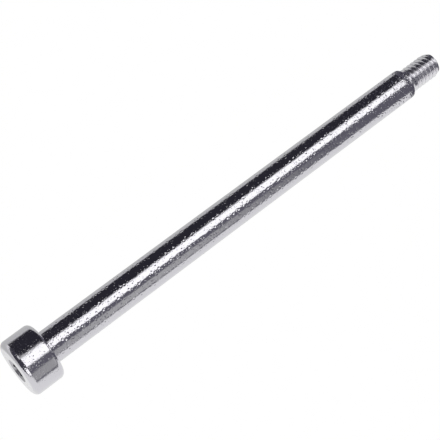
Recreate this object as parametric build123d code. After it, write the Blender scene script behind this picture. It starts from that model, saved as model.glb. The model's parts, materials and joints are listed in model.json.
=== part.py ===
from build123d import *
from math import cos, radians, tan
import os

os.makedirs("parts", exist_ok=True)

# A shoulder bolt, turned from one bar: a cylindrical head with a hexagon socket, a long plain shoulder that
# a wheel, link or lever turns on, and a short thread that screws into the frame. It stands on the flat of
# its head, so the origin is the middle of that flat and +Z runs up the axis to the thread. Millimetres.

# Head
head_diameter = 13.8
head_height = 7.9
head_edge_radius = 1.3  # the same round at the key's end and at the shoulder's
under_head_radius = 0.4  # the corner that the turning tool leaves between head and shoulder

# Hexagon socket
key_across_flats = 4.76  # takes a 3/16 in key
key_depth = 4.0  # full hexagon, from the flat of the head to where the drill point starts
key_lead_in = 0.25  # how far the mouth's 45 degree bevel reaches outside the hexagon's corners
drill_point_angle = 118.0

# Shoulder
shoulder_diameter = 7.9
shoulder_length = 110.0
shoulder_end_relief_length = 2.2  # the last stretch, which the polishing leaves a little thinner
shoulder_end_relief = 0.12  # how far it has fallen inside the shoulder's radius at its end
shoulder_edge_radius = 0.3

# Thread: 1/4-20. It is a plain cylinder over the crests here, without the helical groove between them.
thread_diameter = 6.35
thread_length = 9.9  # from the end of the shoulder to the tip, with the neck
thread_depth = 0.76  # sets the neck, which is turned down to the root of the thread
thread_end_length = 1.4  # the tapered stretch at the tip
thread_end_diameter = 5.2  # how wide the taper still is at the tip
neck_length = 0.6  # where the threading tool runs out
neck_clearance = 0.04  # how much deeper than the thread the neck is

# Heights along the axis
shoulder_start = head_height
shoulder_end = shoulder_start + shoulder_length
relief_start = shoulder_end - shoulder_end_relief_length
thread_start = shoulder_end + neck_length
tip = shoulder_end + thread_length
taper_start = tip - thread_end_length

# Diameters that follow from others
shoulder_end_diameter = shoulder_diameter - 2 * shoulder_end_relief
root_diameter = thread_diameter - 2 * thread_depth
neck_diameter = root_diameter - 2 * neck_clearance

# A 45 degree cone leads from the neck up to the thread's crests
crests_start = thread_start + (thread_diameter - neck_diameter) / 2

# Half of the blank's section, from the flat of the head up to the tip, turned about the axis
with BuildPart() as bolt:
    with BuildSketch(Plane.XZ):
        with BuildLine():
            below = Polyline(
                (0, tip),
                (0, 0),
                (head_diameter / 2, 0),
                (head_diameter / 2, head_height),
                (shoulder_diameter / 2, shoulder_start),
                (shoulder_diameter / 2, relief_start),
            )
            relief = TangentArc(below @ 1, (shoulder_end_diameter / 2, shoulder_end), tangent=below % 1)
            Polyline(
                relief @ 1,
                (neck_diameter / 2, shoulder_end),
                (neck_diameter / 2, thread_start),
                (thread_diameter / 2, crests_start),
                (thread_diameter / 2, taper_start),
                (thread_end_diameter / 2, tip),
                below @ 0,
            )
        make_face()
    revolve(axis=Axis.Z)

    def rim(diameter, height):
        """The turned edge of this diameter at this height."""
        circles = bolt.edges().filter_by(GeomType.CIRCLE)
        return circles.sort_by(lambda c: abs(2 * c.radius - diameter) + abs(c.arc_center.Z - height))[0]

    fillet([rim(head_diameter, 0), rim(head_diameter, head_height)], head_edge_radius)
    fillet(rim(shoulder_diameter, shoulder_start), under_head_radius)
    fillet(rim(shoulder_end_diameter, shoulder_end), shoulder_edge_radius)

    # The socket is drilled and then broached, so the drill's point is left below the hexagon. A bevel
    # round the mouth leads the key in.
    with BuildSketch():
        RegularPolygon(key_across_flats / 2, 6, major_radius=False)
    extrude(amount=key_depth, mode=Mode.SUBTRACT)
    bored = (Align.CENTER, Align.CENTER, Align.MIN)
    drill_radius = key_across_flats / 2
    drill_point = drill_radius / tan(radians(drill_point_angle / 2))
    with Locations((0, 0, key_depth)):
        Cone(drill_radius, 0, drill_point, align=bored, mode=Mode.SUBTRACT)
    mouth_radius = drill_radius / cos(radians(30)) + key_lead_in
    Cone(mouth_radius, drill_radius, mouth_radius - drill_radius, align=bored, mode=Mode.SUBTRACT)

bolt.part.label = "shoulder_bolt"
export_step(bolt.part, "parts/shoulder_bolt.step")
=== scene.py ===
# %% [markdown]
# # A bright plated shoulder bolt
#
# A shoulder bolt is a pivot that is also a fastener: a wheel or lever turns on its long plain shoulder while
# the short thread at the end holds it to a frame. This notebook dresses the solid bolt as the real thing
# looks: one piece of turned steel with a rolled thread, a broached hexagon socket and a bright plating that
# has been knocked about a little in a box of other bolts.
#
# The solid model is loaded first and never moved. The sizes that its box and its record give are read from
# it, and its smaller ones, such as the rounds, are written here again.

# %% Load the solid bolt
import json
from math import asin, cos, degrees, pi, radians, sin, tan

import bpy
from mathutils import Matrix, Vector


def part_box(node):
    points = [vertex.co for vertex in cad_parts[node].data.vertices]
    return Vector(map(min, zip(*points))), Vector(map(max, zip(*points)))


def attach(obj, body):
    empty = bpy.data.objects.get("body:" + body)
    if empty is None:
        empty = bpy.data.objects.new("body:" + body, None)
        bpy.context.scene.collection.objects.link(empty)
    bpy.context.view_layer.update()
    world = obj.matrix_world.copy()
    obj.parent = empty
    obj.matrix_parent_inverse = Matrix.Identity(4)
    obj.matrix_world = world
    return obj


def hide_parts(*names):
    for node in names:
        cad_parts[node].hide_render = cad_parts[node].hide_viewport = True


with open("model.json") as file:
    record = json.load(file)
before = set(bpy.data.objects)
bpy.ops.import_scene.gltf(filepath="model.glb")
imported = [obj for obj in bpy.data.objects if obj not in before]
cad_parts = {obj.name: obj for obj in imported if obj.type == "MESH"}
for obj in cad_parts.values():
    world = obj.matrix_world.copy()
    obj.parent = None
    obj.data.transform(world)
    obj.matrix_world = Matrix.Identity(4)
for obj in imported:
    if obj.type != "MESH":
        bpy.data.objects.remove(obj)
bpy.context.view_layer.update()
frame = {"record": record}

lowest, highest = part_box("shoulder_bolt")
mounts = {m["name"]: m for m in frame["record"]["mounts"]}
print("solid bolt, mm:", [round(1000 * (b - a), 2) for a, b in zip(lowest, highest)])

# %% [markdown]
# ## Sizes
#
# The head's width and the bolt's length come from the solid's box. Its record holds two round mounts, one
# for the straight wall of the shoulder and one for where the thread has its full width, and each gives a
# radius, a middle and a length. What is left is small: the rounds on the edges, the socket and the shape of
# one thread. Millimetres are easier to think in at this scale, so the shapes are worked out in millimetres
# and scaled at the end.
#
# The solid has no thread, only a plain cylinder as wide as the crests would be. So the pitch and the depth
# of the groove are set here, and only this skin has the groove.

# %% Sizes in millimetres
MM = 0.001


def wall_of(mount):
    """Radius, lowest and highest height of a round mount's straight wall."""
    middle, half = 1000 * mount["pos_m"][2], mount["dims"]["length_mm"] / 2
    return mount["dims"]["r_mm"], middle - half, middle + half


shoulder_radius, wall_start, wall_end = wall_of(mounts["shoulder"])
thread_radius, crests_start, crests_end = wall_of(mounts["thread"])
head_radius = 1000 * (highest.x - lowest.x) / 2
head_height = 1000 * mounts["under_head"]["pos_m"][2]
tip_height = 1000 * highest.z

head_round = 1.3
under_head_round = wall_start - head_height
relief_length = 2.2
relief_depth = 0.12
shoulder_round = 0.3
shoulder_end = wall_end + relief_length

pitch = 1.27
thread_depth = 0.76
neck_clearance = 0.04
neck_radius = thread_radius - thread_depth - neck_clearance
thread_start = crests_start - (thread_radius - neck_radius)
tip_radius = 2.6

key_half_width = 2.38
key_depth = 4.0
key_lead_in = 0.25
drill_point_angle = 118

print("shoulder", 2 * shoulder_radius, "x", round(shoulder_end - head_height, 2), "thread", 2 * thread_radius)

# %% [markdown]
# ## One skin for the whole bolt
#
# The bolt is one piece of metal, so it is made as one skin. The simple way to make a turned part is
# to draw half of its section and spin it. Two things on this bolt aren't round, the hexagon socket and the
# thread, so instead of one section there is one for each of many slices round the axis. All of them have
# the same number of points, and neighbouring slices are stitched together point by point.
#
# The slices are a multiple of six, so that a slice falls exactly on each corner of the hexagon.

# %% Arcs and straight runs
slices = 192


def rounded(centre, radius, start, end, steps):
    """Points on an arc in the (radius, height) plane, with angles in degrees."""
    angles = [radians(start + (end - start) * k / steps) for k in range(steps + 1)]
    return [(centre[0] + radius * cos(a), centre[1] + radius * sin(a)) for a in angles]


def straight(a, b, steps):
    """Points between two corners, without the corners themselves."""
    return [(a[0] + (b[0] - a[0]) * k / steps, a[1] + (b[1] - a[1]) * k / steps) for k in range(1, steps)]


print("degrees from one slice to the next:", 360 / slices)

# %% [markdown]
# ### The socket
#
# A socket like this is drilled first and then a hexagonal broach is pushed in, so there is a drill point
# below the flat bottom of the hexagon. The bevel round the mouth is a cone, and where it meets the six
# sides it leaves six shallow scallops. On each slice the hexagon's wall stands at its own distance from the
# axis, and the bevel simply stops where it reaches that wall.

# %% The socket's section on one slice
corner_radius = key_half_width / cos(radians(30))
mouth_radius = corner_radius + key_lead_in


def hexagon_wall(angle):
    """How far the hexagon's wall is from the axis, with corners at 0, 60, 120 degrees and so on."""
    from_flat = (angle + radians(30)) % radians(60) - radians(30)
    return key_half_width / cos(radians(30) - abs(from_flat))


def socket_section(angle):
    wall = hexagon_wall(angle)
    drill_point = key_half_width / tan(radians(drill_point_angle / 2))
    apex, drill_edge = (0, key_depth + drill_point), (key_half_width, key_depth)
    ledge = ((key_half_width + wall) / 2, key_depth)
    bottom, mouth = (wall, key_depth), (wall, mouth_radius - wall)
    return (
        [apex] + straight(apex, drill_edge, 4)
        + [drill_edge, ledge, bottom]
        + straight(bottom, mouth, 8) + [mouth]
        + straight(mouth, (mouth_radius, 0), 3)
    )


print("socket points on a slice:", len(socket_section(0)))

# %% [markdown]
# ### Head and shoulder
#
# These are plain turning. The rounds get many short steps, because bright plating shows every flat facet,
# and each long straight run gets a point close to its ends, so that the shading of the run stays straight
# right up to the round.
#
# The far end of the shoulder isn't quite square. Polishing has thinned its last two millimetres by a tenth,
# in a long arc that starts straight, and a small round follows it. On bright metal such a gentle fall is
# easy to see, because the long highlight ends there.

# %% The end of the shoulder
def shoulder_ending():
    long_radius = (relief_length ** 2 + relief_depth ** 2) / (2 * relief_depth)
    long_centre = (shoulder_radius - long_radius, wall_end)
    small_height = shoulder_end - shoulder_round
    turn = asin((small_height - wall_end) / (long_radius - shoulder_round))
    small_centre = (long_centre[0] + (long_radius - shoulder_round) * cos(turn), small_height)
    long_arc = rounded(long_centre, long_radius, 0, degrees(turn), 14)
    small_arc = rounded(small_centre, shoulder_round, degrees(turn), 90, 10)
    return long_arc + small_arc[1:]


print("the shoulder ends at a radius of", round(shoulder_ending()[-1][0], 3))


# %% The turned section, from the mouth of the socket to the neck
hold = 0.05         # how far from its ends a straight run has its extra points
face_middle = 4.2   # radius of one more ring of points on the flat of the head


def turned_section():
    r, h = head_radius, head_height
    face = [(mouth_radius, 0), (mouth_radius + hold, 0), (face_middle, 0), (r - head_round - hold, 0)]
    key_end = rounded((r - head_round, head_round), head_round, -90, 0, 18)
    side = straight((r, head_round), (r, h - head_round), 6)
    inner_end = rounded((r - head_round, h - head_round), head_round, 0, 90, 18)
    seat = [(r - head_round - hold, h), (shoulder_radius + under_head_round + hold, h)]
    corner = rounded((shoulder_radius + under_head_round, wall_start), under_head_round, 270, 180, 8)
    near, far = (shoulder_radius, wall_start + hold), (shoulder_radius, wall_end - hold)
    shank = [near] + straight(near, far, 60) + [far]
    ending = shoulder_ending()
    step = [(ending[-1][0] - hold, shoulder_end), (neck_radius, shoulder_end)]
    return face + key_end + side + inner_end + seat + corner + shank + ending + step


print("turned points on a slice:", len(turned_section()))

# %% [markdown]
# ### The thread
#
# A thread could be cut from a cylinder with a Boolean, but a Boolean leaves ragged triangles along the
# helix, and they show in a shiny finish. Here the rows of points climb with the helix, so every crest and
# every root lies exactly on one row. Where a row would climb past either end it is held at that end, and the
# points that then coincide are merged.
#
# One thread is a 60 degree groove. A new thread has flat crests and roots, but the plating has rounded their
# corners. It is right-handed: going round anticlockwise, seen from the tip, it climbs towards the tip.

# %% One thread, as (distance along the axis from a crest, height above the crest)
crest_half = pitch / 16
corner_round = 0.05
flank_slope = tan(radians(60))


def one_thread():
    """Half of the groove's section from the middle of a crest to the middle of a root, then mirrored."""
    crest_edge, root_edge = crest_half, crest_half + thread_depth / flank_slope
    crest_corner = [(crest_edge - corner_round, 0.0), (crest_edge + 0.3 * corner_round, -0.5 * corner_round),
                    (crest_edge + corner_round, -corner_round * flank_slope)]
    flank = [(crest_edge + share * (root_edge - crest_edge), -share * thread_depth) for share in (0.35, 0.62)]
    root_corner = [(root_edge - corner_round, -thread_depth + corner_round * flank_slope),
                   (root_edge - 0.3 * corner_round, -thread_depth + 0.5 * corner_round),
                   (root_edge + 0.6 * corner_round, -thread_depth)]
    half = [(0.0, 0.0)] + crest_corner + flank + root_corner + [(pitch / 2, -thread_depth)]
    return half + [(pitch - x, y) for x, y in reversed(half[1:-1])]


thread_row = one_thread()
print("points on one thread:", len(thread_row))

# %% [markdown]
# The thread doesn't begin and end square. A cone leads up to it from the neck, and the tip tapers, to lead
# it into its hole. Both are limits on how far out a point may stand. On the +X side a groove starts exactly
# at the shoulder's end, so a crest is half a pitch further along.

# %% The thread's section on one slice
def outer_limit(height):
    lead_up = thread_radius + height - crests_start
    taper = (thread_radius - tip_radius) / (tip_height - crests_end)
    return min(thread_radius, lead_up, thread_radius - taper * (height - crests_end))


def height_above_crest(along):
    """Height of the thread's surface at any distance along the axis from a crest."""
    along %= pitch
    row = thread_row + [(pitch, 0.0)]
    for (x0, y0), (x1, y1) in zip(row, row[1:]):
        if x0 <= along <= x1:
            return y0 + (y1 - y0) * (along - x0) / (x1 - x0)


first_crest = shoulder_end + pitch / 2
turns = int((tip_height - thread_start) / pitch) + 2


def thread_section(angle):
    crest = first_crest + pitch * angle / (2 * pi)
    section = []
    for turn in range(-1, turns):
        for along, _ in thread_row:
            height = min(max(crest + turn * pitch + along, thread_start), tip_height)
            surface = thread_radius + height_above_crest(height - crest)
            section.append((max(min(surface, outer_limit(height)), neck_radius), height))
    return section


print("thread points on a slice:", len(thread_section(0)))

# %% [markdown]
# ### Stitching
#
# After one full turn the helix has climbed one pitch, so the last slice meets the first one a whole thread
# further along. The turned part before it meets itself level. That is the only bookkeeping the thread needs.
# One sliver stays open where the winding starts, on the +X side, less than a tenth of a millimetre long.

# %% Build the skin
def build_skin():
    points, faces = [], []
    plain, helix = [], []
    for k in range(slices):
        angle = 2 * pi * k / slices
        fixed = socket_section(angle) + turned_section() + [(neck_radius, thread_start)]
        winding = thread_section(angle)
        for row, section in ((plain, fixed), (helix, winding)):
            row.append(range(len(points), len(points) + len(section)))
            points.extend((MM * r * cos(angle), MM * r * sin(angle), MM * h) for r, h in section)
    for k in range(slices):
        here, there = plain[k], plain[(k + 1) % slices]
        for a in range(len(here) - 1):
            faces.append((here[a], there[a], there[a + 1], here[a + 1]))
        lift = len(thread_row) if k == slices - 1 else 0
        here, there = helix[k], helix[(k + 1) % slices]
        for a in range(len(here) - 1 - lift):
            faces.append((here[a], there[a + lift], there[a + lift + 1], here[a + 1]))
    for k in range(slices):
        there = (k + 1) % slices
        faces.append((plain[k][-1], plain[there][-1], helix[there][0], helix[k][0]))
    faces.append([helix[k][-1] for k in range(slices)])
    return points, faces


points, faces = build_skin()
print(len(points), "points and", len(faces), "faces before merging")

# %% Merge the points and shade the skin smooth
import bmesh

sharpest_smooth = 32    # degrees between two faces that still shade as one surface
touching = 1e-6         # metres between two points that are merged

skin = bpy.data.meshes.new("shoulder_bolt_skin")
skin.from_pydata(points, [], faces)
work = bmesh.new()
work.from_mesh(skin)
bmesh.ops.remove_doubles(work, verts=work.verts, dist=touching)
bmesh.ops.dissolve_degenerate(work, edges=work.edges, dist=touching / 10)
bmesh.ops.recalc_face_normals(work, faces=work.faces)
open_edges = sum(not e.is_manifold for e in work.edges)
for face in work.faces:
    face.smooth = True
work.to_mesh(skin)
work.free()
skin.set_sharp_from_angle(angle=radians(sharpest_smooth))
bolt = bpy.data.objects.new("bolt_skin", skin)
bpy.context.scene.collection.objects.link(bolt)
even = bolt.modifiers.new("even shading", "WEIGHTED_NORMAL")
even.keep_sharp = True
print("open edges:", open_edges, "triangles:", sum(len(p.vertices) - 2 for p in skin.polygons))

# %% [markdown]
# ## The plating
#
# Bright plating is metal all the way: no coat, no colour under it, only a reflection with a cool tint. What
# makes it look real is what breaks the reflection up. The bar under the plating keeps a fine ripple, which
# makes the edges of a highlight waver, and knocks and pores leave small dimples, each of which catches
# light from somewhere else. Both are heights, so they go to a Bump node, in micrometres.

# %% Helpers that add nodes
def add(tree, kind, inputs=(), **settings):
    node = tree.nodes.new(kind)
    for name, value in settings.items():
        setattr(node, name, value)
    for socket, value in dict(inputs).items():
        if isinstance(value, bpy.types.NodeSocket):
            tree.links.new(value, node.inputs[socket])
        else:
            node.inputs[socket].default_value = value
    return node


def bare_tree(owner):
    """The node tree of a new material or world, with nothing in it."""
    owner.use_nodes = True
    owner.node_tree.nodes.clear()
    return owner.node_tree


def times(tree, a, b):
    return add(tree, "ShaderNodeMath", {0: a, 1: b}, operation="MULTIPLY").outputs[0]


def plus(tree, a, b):
    return add(tree, "ShaderNodeMath", {0: a, 1: b}, operation="ADD").outputs[0]


def larger(tree, a, b):
    return add(tree, "ShaderNodeMath", {0: a, 1: b}, operation="MAXIMUM").outputs[0]


def group_socket(group, name, direction, kind="NodeSocketFloat", value=None):
    made = group.interface.new_socket(name=name, in_out=direction, socket_type=kind)
    if value is not None:
        made.default_value = value
    return made


# %% Group: ripple and dimples
ripple = bpy.data.node_groups.new("Ripple and dimples", "ShaderNodeTree")
group_socket(ripple, "Place", "INPUT", "NodeSocketVector")
for name, value in (("Ripple Size mm", 0.6), ("Ripple Height um", 1.0), ("Dimple Spacing mm", 0.8),
                    ("Dimple Share", 0.4), ("Dimple Depth um", 10.0)):
    group_socket(ripple, name, "INPUT", value=value)
group_socket(ripple, "Height um", "OUTPUT")
group_socket(ripple, "Dimple Mask", "OUTPUT")
g_in, g_out = add(ripple, "NodeGroupInput"), add(ripple, "NodeGroupOutput")


def per_mm(size):
    """Turns a size in millimetres into a texture scale for places in metres."""
    return add(ripple, "ShaderNodeMath", {0: 1000.0, 1: size}, operation="DIVIDE").outputs[0]


wave = add(ripple, "ShaderNodeTexNoise",
           {"Vector": g_in.outputs["Place"], "Scale": per_mm(g_in.outputs["Ripple Size mm"]),
            "Detail": 2.0, "Roughness": 0.55})
ripple_height = times(ripple, wave.outputs[0], g_in.outputs["Ripple Height um"])


def dimples(spacing, share, reach):
    """Round pits at scattered places: 1 in the middle of a pit and 0 at its reach, in spacings."""
    cells = add(ripple, "ShaderNodeTexVoronoi",
                {"Vector": g_in.outputs["Place"], "Scale": per_mm(spacing), "Randomness": 1.0})
    lucky = add(ripple, "ShaderNodeSeparateColor", {"Color": cells.outputs["Color"]})
    chosen = add(ripple, "ShaderNodeMath", {0: lucky.outputs[0], 1: share}, operation="LESS_THAN")
    bowl = add(ripple, "ShaderNodeMapRange",
               {"Value": cells.outputs["Distance"], "From Min": 0.0, "From Max": reach,
                "To Min": 1.0, "To Max": 0.0}, interpolation_type="SMOOTHERSTEP")
    return times(ripple, bowl.outputs[0], chosen.outputs[0])


large_reach, small_reach = 0.42, 0.45
small_spacing, small_depth = 0.47, 0.45     # as shares of the large dimples' own
large = dimples(g_in.outputs["Dimple Spacing mm"], g_in.outputs["Dimple Share"], large_reach)
closer = times(ripple, g_in.outputs["Dimple Spacing mm"], small_spacing)
small = dimples(closer, g_in.outputs["Dimple Share"], small_reach)
both = plus(ripple, large, times(ripple, small, small_depth))
pit_depth = times(ripple, both, times(ripple, g_in.outputs["Dimple Depth um"], -1.0))
ripple.links.new(plus(ripple, ripple_height, pit_depth), g_out.inputs["Height um"])
ripple.links.new(both, g_out.inputs["Dimple Mask"])
print("group sockets:", [s.name for s in ripple.interface.items_tree])

# %% [markdown]
# The same group serves four finishes: the head, the shoulder, which has rubbed against other bolts and has
# larger dimples, the thread, whose flanks are smoother but less glossy and whose paler colour is painted
# light that makes the thread shine brighter, and the broached inside of the socket, where plating is thin and
# dull.

# %% The plated metal
cloud_scale = 260.0     # patches of slightly different gloss, about 4 mm across


def plated(name, tint, roughness, heights, grime):
    material = bpy.data.materials.new(name)
    tree = bare_tree(material)
    place = add(tree, "ShaderNodeTexCoord").outputs["Object"]
    relief = add(tree, "ShaderNodeGroup", {}, node_tree=ripple)
    tree.links.new(place, relief.inputs["Place"])
    for socket, value in heights.items():
        relief.inputs[socket].default_value = value
    cloud = add(tree, "ShaderNodeTexNoise", {"Vector": place, "Scale": cloud_scale, "Detail": 4.0})
    gloss = add(tree, "ShaderNodeMapRange", {"Value": cloud.outputs[0], "From Min": 0.3, "From Max": 0.7,
                                             "To Min": roughness[0], "To Max": roughness[1]})
    colour = add(tree, "ShaderNodeMix", {0: cloud.outputs[0]}, data_type="RGBA")
    colour.inputs[6].default_value = (*[c * (1 - grime) for c in tint], 1)
    colour.inputs[7].default_value = (*tint, 1)
    bump = add(tree, "ShaderNodeBump",
               {"Height": relief.outputs["Height um"], "Distance": 1e-6, "Strength": 1.0})
    metal = add(tree, "ShaderNodeBsdfPrincipled",
                {"Base Color": colour.outputs[2], "Metallic": 1.0, "Roughness": gloss.outputs[0],
                 "Normal": bump.outputs[0]})
    add(tree, "ShaderNodeOutputMaterial", {"Surface": metal.outputs[0]})
    return material


cool_grey = (0.70, 0.69, 0.725)
outside = plated("bright_plating", cool_grey, (0.05, 0.11),
                 {"Ripple Size mm": 0.8, "Ripple Height um": 20.0, "Dimple Spacing mm": 0.6,
                  "Dimple Share": 0.7, "Dimple Depth um": 22.0}, 0.05)
shoulder = plated("shoulder_plating", cool_grey, (0.05, 0.10),
                  {"Ripple Size mm": 0.9, "Ripple Height um": 30.0, "Dimple Spacing mm": 0.95,
                   "Dimple Share": 0.9, "Dimple Depth um": 58.0}, 0.05)
# The thread's paler tint is painted light: the same plating, made brighter so that the thread looks more
# strongly lit.
painted_bright_thread = plated("thread_plating_painted_light", (0.87, 0.86, 0.89), (0.20, 0.30),
                  {"Ripple Size mm": 0.4, "Ripple Height um": 2.0, "Dimple Share": 0.1}, 0.15)
inside = plated("socket_plating", (0.55, 0.54, 0.57), (0.18, 0.32),
                {"Ripple Size mm": 0.3, "Ripple Height um": 3.0, "Dimple Share": 0.1}, 0.25)
finishes = [outside, painted_bright_thread, inside, shoulder]
for finish in finishes:
    skin.materials.append(finish)

neck_bare = 0.1         # the first stretch of the neck keeps the shoulder's finish
socket_reach = key_depth + 2    # a height past the point of the drilled hole
for face in skin.polygons:
    middle = sum((skin.vertices[v].co for v in face.vertices), Vector()) / len(face.vertices)
    in_socket = touching < middle.z < MM * socket_reach and middle.xy.length < MM * mouth_radius
    if middle.z > MM * (shoulder_end + neck_bare):
        face.material_index = finishes.index(painted_bright_thread)
    elif middle.z > MM * wall_start:
        face.material_index = finishes.index(shoulder)
    elif in_socket:
        face.material_index = finishes.index(inside)
for k, finish in enumerate(finishes):
    print(finish.name, sum(face.material_index == k for face in skin.polygons), "faces")

# %% The skin stands for the solid
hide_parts("shoulder_bolt")
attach(bolt, "root")

# %% [markdown]
# ## The camera
#
# A long bolt seen close up shows strong perspective: the head, which is nearer, looks larger than the far
# end. The camera is a little below the flat of the head and looks up along the bolt. It is rolled, so that
# the bolt lies across the picture instead of standing in it.

# %% Place the camera
aim = Vector((-0.07, 0, 57.4)) * MM
distance = 260.7 * MM
below = radians(19.7)
roll = radians(53.43)
camera_data = bpy.data.cameras.new("camera")
camera = bpy.data.objects.new("camera", camera_data)
bpy.context.scene.collection.objects.link(camera)
camera_data.sensor_width = 36
camera_data.lens = 92.4545
camera_data.clip_start = 0.01
camera.location = aim + distance * Vector((0, -cos(below), -sin(below)))
towards = (aim - camera.location).to_track_quat("-Z", "Y").to_matrix()
camera.matrix_world = Matrix.Translation(camera.location) @ (towards @ Matrix.Rotation(roll, 3, "Z")).to_4x4()
bpy.context.scene.camera = camera
print("camera", [round(1000 * c, 1) for c in camera.location], "lens", round(camera_data.lens, 1))

# %% [markdown]
# ## The studio
#
# Polished metal has no look of its own: it shows the room. So the bolt stands in the middle of a small round
# light tent, as wide as a dinner plate and open to the camera, which is painted with light: a tall softbox
# in front for the long highlight, black on the left, grey on the right and pale behind. The tent is small
# on purpose. In a tent close by, the head and the far end see the same panel at different heights, which is
# why a highlight on real turned metal ends where it does.
#
# The tent is hidden from the camera and from everything that isn't a reflection, so it lights nothing else.
# Angles are told from the camera's side: 0 is towards the camera, and positive angles go round to the left
# of the upright bolt. Heights are in millimetres above the flat of the head.

# %% The tent's shape
tent_radius = 105
tent_floor = -300
tent_ceiling = 330
tent_sides = 128


def tent_mesh():
    ring = [(tent_radius * cos(2 * pi * k / tent_sides), tent_radius * sin(2 * pi * k / tent_sides))
            for k in range(tent_sides)]
    points = [(x * MM, y * MM, z * MM) for z in (tent_floor, tent_ceiling) for x, y in ring]
    sides = [(k, (k + 1) % tent_sides, tent_sides + (k + 1) % tent_sides, tent_sides + k)
             for k in range(tent_sides)]
    mesh = bpy.data.meshes.new("light_tent")
    mesh.from_pydata(points, [], sides + [range(tent_sides), range(tent_sides, 2 * tent_sides)])
    return mesh


print("tent", 2 * tent_radius, "mm wide and", tent_ceiling - tent_floor, "mm high")

# %% [markdown]
# The tent is one pale wall with a few soft-edged cards laid over it, as they would be clipped up in a real
# one. A card is a brightness, the angles that it covers and the heights that it covers. Later cards lie over
# earlier ones. Dark cards are a cold violet, which gives the dark bands of the plating their colour.

# %% How a card is painted
brightest = 1.5
pale_wall = 0.9


def paint(tone):
    """The card's colour at a brightness: white where it is bright, a cold violet where it is dark."""
    cold = max(0.0, 1 - (tone / 0.5) ** 0.5)
    tint = (1 - 0.10 * cold, 1 - 0.16 * cold, 1 + 0.30 * cold)
    return (*[tone / brightest * share for share in tint], 1)


def rise(tree, value, start, end):
    """0 at the start, 1 at the end and smooth between them."""
    return add(tree, "ShaderNodeMapRange", {"Value": value, "From Min": start, "From Max": end},
               interpolation_type="SMOOTHSTEP").outputs[0]


def panel(tree, wall, angle, height, tone, around, up, soft):
    mask = times(tree, rise(tree, angle, around[0] - soft[0], around[0] + soft[0]),
                 rise(tree, angle, around[1] + soft[0], around[1] - soft[0]))
    mask = times(tree, mask, times(tree, rise(tree, height, up[0] - soft[1], up[0] + soft[1]),
                                   rise(tree, height, up[1] + soft[1], up[1] - soft[1])))
    painted = add(tree, "ShaderNodeMix", {0: mask, 6: wall}, data_type="RGBA")
    painted.inputs[7].default_value = paint(tone)
    return painted.outputs[2]


# %% The cards, as (what it is, brightness, angles, heights, softness of the sides and of the ends)
everywhere, above_head, below_head = (-200, 200), (2, 500), (-305, 2)
cards = [
    ("pale grey wall on the left", 0.62, (108, 170), (-500, 500), (12, 4)),
    ("dark card on the right", 0.15, (-80, -8), above_head, (5, 4)),
    ("grey card low on the right", 0.50, (-72, -38), (2, 110), (4, 50)),
    ("black card on the left", 0.03, (30, 108), above_head, (7, 2)),
    ("black card below", 0.06, (-50, 90), below_head, (5, 2)),
    ("tall softbox", 1.48, (-10, 25), (4, 178), (4, 4)),
    ("low softbox", 1.48, (-42, -13), (-120, -6), (4, 8)),
    ("small reflector", 0.9, (29, 42), (-40, 3), (4, 14)),
    ("dark roof", 0.12, everywhere, (182, 500), (1, 4)),
    ("reflector under the roof", 1.0, (-35, 50), (208, 262), (6, 8)),
]
print("cards:", ", ".join(card[0] for card in cards))


# %% Paint the tent
def tent_paint():
    material = bpy.data.materials.new("tent_paint")
    tree = bare_tree(material)
    place = add(tree, "ShaderNodeSeparateXYZ", {0: add(tree, "ShaderNodeTexCoord").outputs["Object"]})
    left, front = times(tree, place.outputs[0], -1.0), times(tree, place.outputs[1], -1.0)
    turned = add(tree, "ShaderNodeMath", {0: left, 1: front}, operation="ARCTAN2")
    angle = times(tree, turned.outputs[0], degrees(1))
    height = times(tree, place.outputs[2], 1000.0)
    wall = add(tree, "ShaderNodeRGB").outputs[0]
    wall.default_value = paint(pale_wall)
    for _, tone, around, up, soft in cards:
        wall = panel(tree, wall, angle, height, tone, around, up, soft)
    glow = add(tree, "ShaderNodeEmission", {"Color": wall, "Strength": brightest})
    add(tree, "ShaderNodeOutputMaterial", {"Surface": glow.outputs[0]})
    return material


def hang(name, mesh, material):
    """A piece of the studio that only reflections see."""
    made = bpy.data.objects.new(name, mesh)
    made.data.materials.append(material)
    bpy.context.scene.collection.objects.link(made)
    made.visible_camera = made.visible_diffuse = made.visible_shadow = False
    return made


hang("light_tent", tent_mesh(), tent_paint())

# %% [markdown]
# The flanks of the thread look straight down at the end of the shoulder, and it looks straight up. Without a
# light there the whole thread would be dull, so one small bright lamp hangs under the tent's roof.

# %% Lamp under the roof
roof_lamp_radius = 42
roof_lamp_height = tent_ceiling - 5
roof_lamp_sides = 48
roof_lamp_strength = 2.0


def roof_lamp():
    mesh = bpy.data.meshes.new("roof_lamp")
    angles = [2 * pi * k / roof_lamp_sides for k in range(roof_lamp_sides)]
    ring = [(roof_lamp_radius * MM * cos(a), roof_lamp_radius * MM * sin(a), roof_lamp_height * MM)
            for a in angles]
    mesh.from_pydata(ring, [], [range(roof_lamp_sides)])
    material = bpy.data.materials.new("roof_lamp")
    tree = bare_tree(material)
    glow = add(tree, "ShaderNodeEmission", {"Color": (1, 1, 1, 1), "Strength": roof_lamp_strength})
    add(tree, "ShaderNodeOutputMaterial", {"Surface": glow.outputs[0]})
    return hang("roof_lamp", mesh, material)


roof_lamp()
print("roof lamp", 2 * roof_lamp_radius, "mm wide,", roof_lamp_height, "mm up")

# %% [markdown]
# The floor is a plain pale sheet that takes the bolt's soft shadow. It is only there for what looks down on
# it: from below it is clear, and so it is for reflections and for light on its way to the bolt, which then
# meet the white surround and the cards instead.

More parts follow.
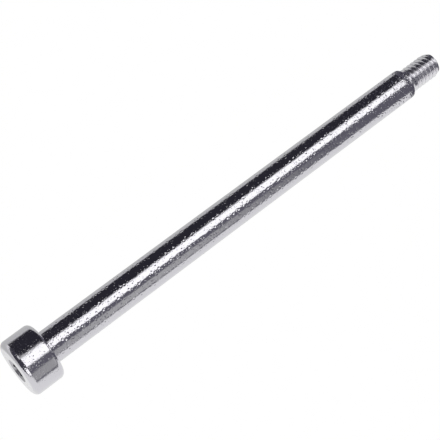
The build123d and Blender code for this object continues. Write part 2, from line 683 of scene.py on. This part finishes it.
# %% Floor
def pale_floor():
    material = bpy.data.materials.new("pale_floor")
    tree = bare_tree(material)
    grain = add(tree, "ShaderNodeTexNoise", {"Scale": 90.0, "Detail": 3.0})
    tone = add(tree, "ShaderNodeMapRange", {"Value": grain.outputs[0], "To Min": 0.86, "To Max": 0.9})
    paper = add(tree, "ShaderNodeBsdfDiffuse", {"Color": tone.outputs[0]})
    clear = add(tree, "ShaderNodeBsdfTransparent")
    path = add(tree, "ShaderNodeLightPath")
    under = add(tree, "ShaderNodeNewGeometry").outputs["Backfacing"]
    hidden = larger(tree, larger(tree, under, path.outputs["Is Glossy Ray"]), path.outputs["Is Shadow Ray"])
    sheet = add(tree, "ShaderNodeMixShader", {0: hidden, 1: paper.outputs[0], 2: clear.outputs[0]})
    add(tree, "ShaderNodeOutputMaterial", {"Surface": sheet.outputs[0]})
    return material


half_floor = 1.5
floor_drop = 0.0001     # so that it doesn't flicker with the flat of the head
corners = ((-1, -1), (1, -1), (1, 1), (-1, 1))
floor_mesh = bpy.data.meshes.new("floor")
floor_points = [(x * half_floor, y * half_floor, -floor_drop) for x, y in corners]
floor_mesh.from_pydata(floor_points, [], [(0, 1, 2, 3)])
floor_mesh.materials.append(pale_floor())
floor = bpy.data.objects.new("floor", floor_mesh)
bpy.context.scene.collection.objects.link(floor)
print("floor", 2 * half_floor, "m wide")

# %% [markdown]
# Two things light the room: the white surround, which is the world, and one large lamp overhead, whose soft
# shadow seats the bolt on the floor.

# %% Surround and lamp
world = bpy.data.worlds.new("white_surround")
bpy.context.scene.world = world
sky = bare_tree(world)
seen = add(sky, "ShaderNodeLightPath")
direct = larger(sky, seen.outputs["Is Camera Ray"], seen.outputs["Is Glossy Ray"])
shown = larger(sky, direct, seen.outputs["Is Transmission Ray"])
strength = add(sky, "ShaderNodeMapRange", {"Value": shown, "To Min": 0.75, "To Max": 1.0})
surround = add(sky, "ShaderNodeBackground", {"Color": (1, 1, 1, 1), "Strength": strength.outputs[0]})
add(sky, "ShaderNodeOutputWorld", {"Surface": surround.outputs[0]})

lamp_data = bpy.data.lights.new("overhead", "AREA")
lamp_data.shape = "RECTANGLE"
lamp_data.size = lamp_data.size_y = 0.35
lamp_data.energy = 1.6
lamp = bpy.data.objects.new("overhead", lamp_data)
lamp.location = (0.15, -0.2, 0.65)
lamp.rotation_euler = (Vector((0, 0, 0)) - lamp.location).to_track_quat("-Z", "Y").to_euler()
lamp.visible_camera = False
lamp.visible_glossy = False
bpy.context.scene.collection.objects.link(lamp)
bpy.context.scene.view_settings.view_transform = "Standard"
print("surround", world.name, "and lamp", lamp.name)
